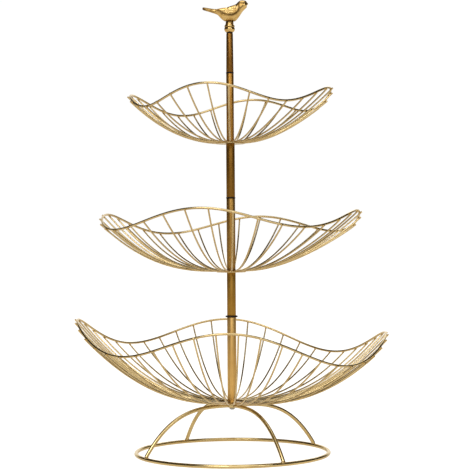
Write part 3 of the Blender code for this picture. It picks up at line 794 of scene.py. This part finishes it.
# The nut's side from below, in shares of its radius and height: foot, ball with a groove, cove and collar
NUT_SHARES = (
    (0.64, 0.0), (0.70, 0.015), (0.78, 0.05), (0.875, 0.11), (0.945, 0.17), (0.985, 0.23), (1.0, 0.29),
    (0.995, 0.35), (0.97, 0.40), (0.935, 0.435), (0.905, 0.45), (0.90, 0.47), (0.925, 0.49),
    (0.955, 0.525), (0.965, 0.57), (0.955, 0.62), (0.925, 0.66), (0.87, 0.70), (0.815, 0.73),
    (0.78, 0.76), (0.755, 0.80), (0.735, 0.84), (0.73, 0.90), (0.735, 0.95), (0.71, 0.985), (0.66, 1.0),
)
GROOVE_SHARE = 0.47


def cast(piece, level, *nodes):
    """Gives a piece of the finial its darkening, painted shade where level is high, and its finish."""
    return finished(lay_shade_and_darkening(piece, level), CAST_GOLD, "gold_cast", "finial", *nodes)


def make_nut():
    low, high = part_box("finial_nut")
    wide, tall, base = high.x, high.z - low.z, low.z
    outline = [(0.0, base + NUT_BORE_DEPTH), (BORE_RADIUS, base + NUT_BORE_DEPTH), (BORE_RADIUS, base)]
    outline += [(wide * r, base + tall * z) for r, z in NUT_SHARES]
    socket = high.z - NUT_SOCKET_DEPTH
    outline += [(BORE_RADIUS, high.z), (BORE_RADIUS, socket), (0.0, socket)]
    nut = turned("finial_ball_nut", outline, sides=64, smooth_deg=50.0)

    def level(point):
        """Painted shade in the groove, on the neck and under the foot."""
        share = (point.z - base) / tall
        groove = 0.9 * math.exp(-((share - GROOVE_SHARE) / 0.05) ** 2)
        neck = 0.75 * min(max((share - 0.80) / 0.08, 0.0), 1.0)
        foot = 0.5 * max(0.0, 1.0 - share / 0.05)
        return max(groove, neck, foot)

    cast(nut, level, "finial_nut")


def lofted(name, rings, sides, levels):
    """One ring of points drawn along, wider or narrower at each step, then smoothed this many times.

    Each ring is (x, y, z, half width, half height)."""
    x, y, z, half_wide, half_high = rings[0]
    bpy.ops.mesh.primitive_circle_add(vertices=sides, radius=1.0, fill_type="NGON", location=(0.0, 0.0, 0.0),
                                      rotation=(math.pi / 2, 0.0, math.pi / 2))
    obj = named(name)
    bpy.ops.object.transform_apply(location=False, rotation=True, scale=False)
    edit(obj)
    pick_all()
    bpy.ops.transform.resize(value=(1.0, half_wide, half_high))
    bpy.ops.transform.translate(value=(x, y, z))
    for next_x, next_y, next_z, next_wide, next_high in rings[1:]:
        move = (next_x - x, next_y - y, next_z - z)
        bpy.ops.mesh.extrude_region_move(TRANSFORM_OT_translate={"value": move})
        bpy.ops.transform.resize(value=(1.0, next_wide / half_wide, next_high / half_high))
        x, y, z, half_wide, half_high = next_x, next_y, next_z, next_wide, next_high
    closed_up(obj)
    smooth = obj.modifiers.new("skin", "SUBSURF")
    smooth.levels = smooth.render_levels = levels
    apply_all(obj)
    bpy.ops.object.shade_smooth()
    return obj


# The bird's body from tail to beak, in shares of its sizes: (along, low, high, wide)
BODY_SHARES = (
    (0.000, 0.560, 0.655, 0.30), (0.020, 0.530, 0.676, 0.36), (0.150, 0.452, 0.625, 0.34),
    (0.260, 0.375, 0.590, 0.36), (0.315, 0.335, 0.590, 0.44), (0.355, 0.265, 0.598, 0.58),
    (0.410, 0.120, 0.610, 0.76), (0.475, 0.010, 0.640, 0.90), (0.540, -0.020, 0.670, 0.98),
    (0.630, -0.020, 0.740, 1.00), (0.705, -0.010, 0.790, 0.97), (0.740, 0.045, 0.820, 0.93),
    (0.768, 0.115, 0.895, 0.86), (0.818, 0.255, 0.985, 0.76), (0.868, 0.430, 1.000, 0.72),
    (0.925, 0.560, 0.985, 0.62), (0.960, 0.620, 0.945, 0.44), (0.975, 0.665, 0.910, 0.32),
)
FLANK_LIMIT = 0.98


def at_share(along):
    """X at this share of the bird's length, counted from the tail."""
    return BIRD_BEAK_REACH - BIRD_LENGTH * (1.0 - along)


def body_section(along):
    """(low, high, wide) shares of the body at this share of its length."""
    for first, second in zip(BODY_SHARES, BODY_SHARES[1:]):
        if along <= second[0]:
            t = (along - first[0]) / (second[0] - first[0])
            return [a + (b - a) * t for a, b in zip(first[1:], second[1:])]
    return BODY_SHARES[-1][1:]


def on_side(belly, along, up, side, lift=0.0):
    """A point on the bird's flank, and the way out from it, at these shares of its length and height."""
    low, high, wide = body_section(along)
    centre, half_high = (low + high) / 2, (high - low) / 2
    v = max(min((up - centre) / half_high, FLANK_LIMIT), -FLANK_LIMIT)
    half_wide = BIRD_WIDTH * wide / 2
    y = half_wide * math.sqrt(1.0 - v * v)
    out = Vector((0.0, side * math.sqrt(1.0 - v * v) / half_wide, v / (BIRD_HEIGHT * half_high))).normalized()
    return Vector((at_share(along), side * y, belly + BIRD_HEIGHT * up)) + out * lift, out


# How far a wing feather stands out, and how close doubles of small feathers must be to merge
WING_RELIEF = 0.0030
FINE_WELD = 0.0000001

# A feather a unit long: how thick it is, and how its sides, quill and bend are shaped
FEATHER_THICKNESS = 0.16
VANE_ROOT = 0.30
VANE_TIP_FROM = 0.87
QUILL_RISE = 0.10
VANE_BOW = 0.10
FEATHER_BEND = 0.05


def vane_width(run):
    """The width of a feather at this share of its length: narrow at the root, full, then round at the tip."""
    if run < VANE_TIP_FROM:
        return VANE_ROOT + (1.0 - VANE_ROOT) * math.sin(math.pi * min(run * 1.15, 1.0)) ** 0.6
    return 0.9 * math.sqrt(max(1.0 - ((run - 0.6) / 0.4) ** 2, 0.02))


def feather_pattern(name):
    """One feather from its root at the origin to its tip at -X: a thin vane with a raised quill."""
    bpy.ops.mesh.primitive_plane_add(size=1.0, location=(-0.5, 0.0, 0.0))
    obj = named(name)
    bpy.ops.object.transform_apply(location=True, rotation=False, scale=False)
    edit(obj)
    pick_all()
    bpy.ops.mesh.subdivide(number_cuts=7)
    bpy.ops.object.mode_set(mode="OBJECT")
    for vertex in obj.data.vertices:
        run = -vertex.co.x
        across = vertex.co.y * 2
        vertex.co.y = 0.5 * across * vane_width(run)
        quill = QUILL_RISE * (1.0 - abs(across)) ** 2
        vertex.co.z = quill + VANE_BOW * (1.0 - across * across) - FEATHER_BEND * run * run
    edit(obj)
    pick_all()
    bpy.ops.mesh.extrude_region_move(TRANSFORM_OT_translate={"value": (0.0, 0.0, -FEATHER_THICKNESS)})
    bpy.ops.object.mode_set(mode="OBJECT")
    return closed_up(obj, weld=0.0001, smooth_deg=60.0)


def laid_feather(pattern, name, root, back, out, size):
    """A copy of the feather from its root along back, its upper side towards out."""
    across = out.cross(back).normalized()
    out = back.cross(across).normalized()
    twin = copied(pattern, name)
    turn = Matrix((-back, across * -1.0, out)).transposed().to_4x4()
    twin.matrix_world = Matrix.Translation(root) @ turn @ Matrix.Diagonal((*size, 1.0))
    return twin


def feathers(name, pattern, belly, rows, side):
    """Feathers laid along the flank, each (along, up, length, width, droop in degrees, lift)."""
    laid = []
    for number, (along, up, length, width, droop, lift) in enumerate(rows):
        place, out = on_side(belly, along, up, side, lift)
        level_run, fall = math.cos(math.radians(droop)), math.sin(math.radians(droop))
        back = Vector((-level_run, 0.0, -fall))
        tip, _ = on_side(belly, max(along - length / BIRD_LENGTH * level_run, 0.02),
                         up - length / BIRD_HEIGHT * fall, side, lift * 0.6)
        back = (tip - place).normalized() if (tip - place).length > length * 0.5 else back
        laid.append(laid_feather(pattern, f"{name}_{number}", place, back, out, (length, width, WING_RELIEF)))
    return closed_up(joined(name, laid), weld=FINE_WELD, smooth_deg=60.0)


# Where the bird is darkened, in shares of its length and height: painted shade
# under the folded wing and up the neck, and a dark stripe from the nape past the eye to the beak
CREASE_SHARES = (
    (0.33, 0.56), (0.40, 0.44), (0.478, 0.335), (0.56, 0.285), (0.65, 0.275), (0.72, 0.34),
    (0.78, 0.475), (0.80, 0.62), (0.795, 0.76), (0.77, 0.88),
)
CREASE_WIDTH = 0.0013
LORE_SHARES = ((0.80, 0.84), (0.875, 0.83), (0.99, 0.82))
LORE_WIDTH = 0.0009


def off_line(line, along, up):
    """Distance in metres, on the bird's flank, from a line given in shares of its length and height."""
    here = Vector((along * BIRD_LENGTH, up * BIRD_HEIGHT))
    places = [Vector((share * BIRD_LENGTH, height * BIRD_HEIGHT)) for share, height in line]
    nearest = 1.0
    for a, b in zip(places, places[1:]):
        t = min(max((here - a).dot(b - a) / (b - a).length_squared, 0.0), 1.0)
        nearest = min(nearest, (here - a - (b - a) * t).length)
    return nearest


def bird_shade_and_darkening(belly):
    """The bird's darkening at a point: painted shade in its creases and underneath, and darker over the
    tail's end and root.
    """
    def level(point):
        along = 1.0 - (BIRD_BEAK_REACH - point.x) / BIRD_LENGTH
        up = (point.z - belly) / BIRD_HEIGHT
        crease = 0.95 * math.exp(-(off_line(CREASE_SHARES, along, up) / CREASE_WIDTH) ** 2)
        lore = 0.9 * math.exp(-(off_line(LORE_SHARES, along, up) / LORE_WIDTH) ** 2)
        tail = min(max(0.0, 1.5 - along / 0.08), 1.0) + 0.45 * max(0.0, 1.0 - abs(along - 0.2) / 0.14)
        vent = 0.7 * max(0.0, 1.0 - up / 0.08)
        return max(crease, lore, tail, vent)
    return level


# The beak's (share along, share of its thickness) from its root to its tip
BEAK_SHARES = ((0.0, 1.0), (0.25, 0.92), (0.55, 0.74), (0.8, 0.48), (0.94, 0.24), (1.0, 0.08))
BEAK_ROOT_SHARE = 0.950
BEAK_HEIGHT_SHARE = 0.828
BEAK_DROOP = 0.0004
BEAK_RADIUS = 0.0022
EYE_SHARES = (0.893, 0.835)
EYE_RADIUS = 0.00085
FOOT_X = 0.0015
TOE_RADIUS = 0.00055
TOE_SPREADS = (-0.0008, 0.0, 0.0008)
TAIL_FEATHERS = 5
TAIL_FEATHER_SIZE = (0.0030, 0.0022)


def make_body(belly, shade_and_darkening):
    rings = []
    for along, low, high, wide in BODY_SHARES:
        rings.append((at_share(along), 0.0, belly + BIRD_HEIGHT * (low + high) / 2, BIRD_WIDTH * wide / 2,
                      BIRD_HEIGHT * (high - low) / 2))
    cast(lofted("finial_bird_body", rings, 16, 3), shade_and_darkening, "finial_bird")


def make_beak(belly, shade_and_darkening):
    root = at_share(BEAK_ROOT_SHARE)
    height = belly + BIRD_HEIGHT * BEAK_HEIGHT_SHARE
    rings = []
    for share, size in BEAK_SHARES:
        rings.append((root + (BIRD_BEAK_REACH - root) * share, 0.0, height - BEAK_DROOP * share,
                      BEAK_RADIUS * size, BEAK_RADIUS * size))
    cast(lofted("finial_bird_beak", rings, 10, 2), shade_and_darkening)


def wing_rows():
    """The feathers of one folded wing: the long ones, the middle ones, then the small coverts over them."""
    longs = [(0.545 - 0.012 * i, 0.60 - 0.060 * i, 0.0150 - 0.0006 * i, 0.0030, 6 - 5 * i, 0.0003)
             for i in range(5)]
    middles = [(0.630 - 0.010 * i, 0.60 - 0.075 * i, 0.0100, 0.0034, 8 - 2 * i, 0.0004) for i in range(5)]
    coverts = [(0.735 - 0.045 * i, 0.60 - 0.085 * j + 0.004 * i, 0.0062, 0.0034, 12,
                0.0005 + 0.0002 * (3 - j)) for j in range(3) for i in range(3)]
    return longs + middles + coverts


def make_eye(belly, side, word):
    place, _ = on_side(belly, *EYE_SHARES, side)
    bpy.ops.mesh.primitive_uv_sphere_add(segments=16, ring_count=10, radius=EYE_RADIUS, location=place)
    ball = named(f"finial_bird_eye_{word}")
    edit(ball)
    pick_all()
    bpy.ops.transform.resize(value=(1.0, 0.7, 1.0))
    cast(closed_up(ball), lambda point: 1.0)


def make_foot(belly, side, word):
    """A short leg and three toes that grip the nut's collar."""
    def at(x, y, z):
        return Vector((FOOT_X + x, side * y, belly + z))

    shin = [at(0.0012, 0.0022, 0.0020), at(0.0006, 0.0024, -0.0004), at(0.0010, 0.0027, -0.0012)]
    toes = []
    for spread in TOE_SPREADS:
        toes.append([at(0.0010, 0.0027, -0.0011), at(0.0022, 0.0027 + spread, -0.0012),
                     at(0.0030, 0.0027 + spread * 1.6, -0.0019)])
    claw = drawn_wire(f"finial_bird_foot_{word}", [shin, *toes], TOE_RADIUS, roundness=2)
    cast(claw, lambda point: 0.75)


def make_tail(belly, pattern, shade_and_darkening):
    """Feathers fanned a little to both sides, the middle one highest."""
    tail = []
    for number in range(TAIL_FEATHERS):
        fan = (number - TAIL_FEATHERS // 2) * 0.5
        root = Vector((at_share(0.30), fan * 0.0010, belly + BIRD_HEIGHT * (0.545 - 0.008 * abs(fan))))
        tip = Vector((at_share(0.004), fan * 0.0016, belly + BIRD_HEIGHT * (0.640 - 0.010 * abs(fan))))
        run = tip - root
        size = (run.length, *TAIL_FEATHER_SIZE)
        tail.append(laid_feather(pattern, f"tail_{number}", root, run.normalized(), UP, size))
    cast(closed_up(joined("finial_bird_tail", tail), weld=FINE_WELD, smooth_deg=60.0), shade_and_darkening)


def make_bird():
    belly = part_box("finial_bird")[1].z - BIRD_HEIGHT
    shade_and_darkening = bird_shade_and_darkening(belly)
    make_body(belly, shade_and_darkening)
    make_beak(belly, shade_and_darkening)
    pattern = feather_pattern("feather_pattern")
    for side, word in ((-1, "front"), (1, "back")):
        cast(feathers(f"finial_bird_wing_{word}", pattern, belly, wing_rows(), side), shade_and_darkening)
        make_eye(belly, side, word)
        make_foot(belly, side, word)
    make_tail(belly, pattern, shade_and_darkening)
    discard(pattern)


make_nut()
make_bird()


# Room: pale floor, soft light, camera at the photograph's angle

FLOOR_SIZE = 40.0
FLOOR_CENTRE = (0.0, 15.0, 0.0)
FLOOR_COLOUR = (0.55, 0.55, 0.55, 1.0)
FLOOR_GLOW = (0.46, 0.39, 0.285, 1.0)
FLOOR_SEEN = (0.97, 0.97, 0.97, 1.0)
SKY_SEEN = (1.02, 1.02, 1.02, 1.0)

# What the gilding mirrors: the room's tones from straight down to straight up, and patches of light
# (direction, degrees to the edge, degrees to full strength, colour)
ROOM_TONES = (
    (0.0, (0.045, 0.036, 0.022)),
    (0.15, (0.036, 0.027, 0.016)),
    (0.5, (0.045, 0.038, 0.027)),
    (1.0, (0.090, 0.085, 0.072)),
)
LIGHT_PATCHES = (
    ((0.0, -0.788, 0.616), 42.0, 18.0, (1.4, 1.3, 1.15)),
    ((0.0, 1.0, 0.0), 42.0, 16.0, (1.0, 0.93, 0.83)),
)

# Lamps: name, place, aim, size and power
LAMPS = (
    ("key", (-0.6, -1.7, 1.4), (0.0, 0.0, 0.25), (0.9, 0.45), 6.0),
    ("fill", (1.2, -1.5, 0.9), (0.0, 0.0, 0.25), (0.6, 0.6), 2.5),
    ("top", (0.0, 0.0, 2.2), (0.0, 0.0, 0.2), (1.2, 1.2), 6.0),
    ("back", (0.6, 1.6, 1.3), (0.0, 0.0, 0.25), (0.9, 0.6), 2.0),
)
LAMP_COLOUR = (1.0, 0.985, 0.96)

CAMERA_PLACE = (0.0048, -1.7808, 0.2549)
CAMERA_SENSOR = 36.0
CAMERA_LENS = 113.67
CAMERA_PITCH_DEG = 90.25
CAMERA_ROLL_DEG = -0.4
CAMERA_FAR = 50.0


def light_patch(tree, below, direction, edge_deg, full_deg, colour):
    """Lays a round soft-edged patch of light over the colours below it, and gives the new colours' socket."""
    link = tree.links.new
    place = node(tree, "TexCoord")
    toward = node(tree, "VectorMath", {1: direction}, operation="DOT_PRODUCT")
    link(place.outputs["Generated"], toward.inputs[0])
    edge, full = math.cos(math.radians(edge_deg)), math.cos(math.radians(full_deg))
    patch = node(tree, "MapRange", {"From Min": edge, "From Max": full}, interpolation_type="SMOOTHSTEP")
    link(toward.outputs["Value"], patch.inputs["Value"])
    lit = node(tree, "Mix", {COLOUR_B: (*colour, 1.0)}, data_type="RGBA")
    link(patch.outputs["Result"], lit.inputs["Factor"])
    link(below, lit.inputs[COLOUR_A])
    return lit.outputs[COLOUR_OUT]


def make_floor():
    """A pale floor that the camera sees nearly white and the gilding mirrors dim and warm."""
    bpy.ops.mesh.primitive_plane_add(size=FLOOR_SIZE, location=FLOOR_CENTRE)
    floor = named("pale_floor")
    paint = bpy.data.materials.new("pale floor paint")
    paint.use_nodes = True
    tree = paint.node_tree
    shader = tree.nodes["Principled BSDF"]
    shader.inputs["Base Color"].default_value = FLOOR_COLOUR
    shader.inputs["Roughness"].default_value = 0.9
    shader.inputs["Specular IOR Level"].default_value = 0.0
    seen = node(tree, "LightPath")
    glow = node(tree, "Mix", {COLOUR_A: FLOOR_GLOW, COLOUR_B: FLOOR_SEEN}, data_type="RGBA")
    tree.links.new(seen.outputs["Is Camera Ray"], glow.inputs["Factor"])
    tree.links.new(glow.outputs[COLOUR_OUT], shader.inputs["Emission Color"])
    shader.inputs["Emission Strength"].default_value = 1.0
    floor.data.materials.append(paint)


def make_world():
    """White to the camera; dim with two bright patches to everything else."""
    world = bpy.data.worlds.new("studio")
    bpy.context.scene.world = world
    world.use_nodes = True
    tree = world.node_tree
    link = tree.links.new
    place = node(tree, "TexCoord")
    split = node(tree, "SeparateXYZ")
    link(place.outputs["Generated"], split.inputs[0])
    band = node(tree, "ValToRGB")
    stops = band.color_ramp.elements
    for position, _ in ROOM_TONES[1:-1]:
        stops.new(position)
    for stop, (_, colour) in zip(stops, ROOM_TONES):
        stop.color = (*colour, 1.0)
    link(split.outputs["Z"], band.inputs[0])
    lit = band.outputs["Color"]
    for patch in LIGHT_PATCHES:
        lit = light_patch(tree, lit, *patch)
    seen = node(tree, "LightPath")
    shown = node(tree, "Mix", {COLOUR_B: SKY_SEEN}, data_type="RGBA")
    link(seen.outputs["Is Camera Ray"], shown.inputs["Factor"])
    link(lit, shown.inputs[COLOUR_A])
    link(shown.outputs[COLOUR_OUT], tree.nodes["Background"].inputs["Color"])


def make_lamps():
    for name, place, aim, size, power in LAMPS:
        bpy.ops.object.light_add(type="AREA", location=place)
        lamp = named(f"soft_{name}")
        lamp.data.shape = "RECTANGLE"
        lamp.data.size, lamp.data.size_y = size
        lamp.data.energy = power
        lamp.data.color = LAMP_COLOUR
        lamp.rotation_euler = (Vector(aim) - Vector(place)).to_track_quat("-Z", "Y").to_euler()


def make_camera():
    bpy.ops.object.camera_add(location=CAMERA_PLACE)
    camera = named("camera")
    camera.data.sensor_width = CAMERA_SENSOR
    camera.data.lens = CAMERA_LENS
    camera.data.clip_end = CAMERA_FAR
    pitch = Matrix.Rotation(math.radians(CAMERA_PITCH_DEG), 4, "X")
    roll = Matrix.Rotation(math.radians(CAMERA_ROLL_DEG), 4, "Z")
    camera.rotation_euler = (pitch @ roll).to_euler()
    bpy.context.scene.camera = camera
    bpy.context.scene.view_settings.view_transform = "Standard"


make_floor()
make_world()
make_lamps()
make_camera()
